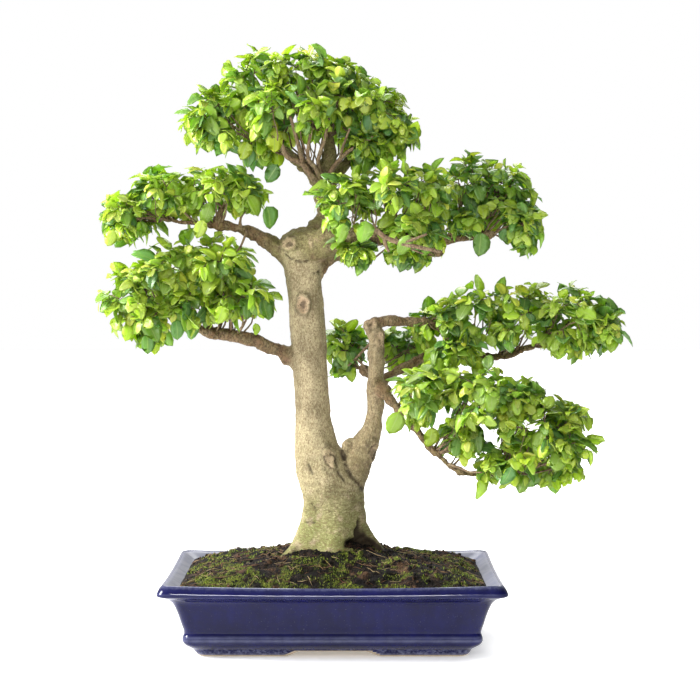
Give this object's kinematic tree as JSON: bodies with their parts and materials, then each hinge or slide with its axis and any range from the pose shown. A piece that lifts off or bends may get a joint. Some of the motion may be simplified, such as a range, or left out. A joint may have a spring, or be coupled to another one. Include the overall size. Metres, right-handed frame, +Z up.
{
  "type": "privet bonsai in a pot",
  "caption": "Privet bonsai with a forked trunk and layered foliage pads, growing in a shallow rectangular glazed pot.",
  "frame": {"origin": "on the ground under the middle of the whole object's bounding box; the middle of the pot's base is at x -39.6 mm, y 0.0 mm", "axes": "+X along the pot's long side, to the right seen from the front; +Y towards the back; +Z up"},
  "size_m": [0.6602, 0.3, 0.7247],
  "materials": {
    "glaze": "deep blue gloss glaze, pale where it thins over edges and feet",
    "screen": "matt moulded mesh",
    "soil": "dark crumbly soil with moss",
    "bark": "smooth grey-beige bark with fine dark pores, rougher and browner on the limbs",
    "leaf": "glossy green leaf with a pale midrib"
  },
  "bodies": {
    "root": {"pot": "glaze", "drain_screen_left": "screen", "drain_screen_right": "screen", "soil": "soil", "wood": "bark", "foliage_crown": "leaf", "foliage_left_upper": "leaf", "foliage_left_lower": "leaf", "foliage_right_upper_front": "leaf", "foliage_right_upper_back": "leaf", "foliage_right_middle": "leaf", "foliage_right_lower": "leaf", "foliage_centre_back": "leaf"}
  },
  "joints": []
}
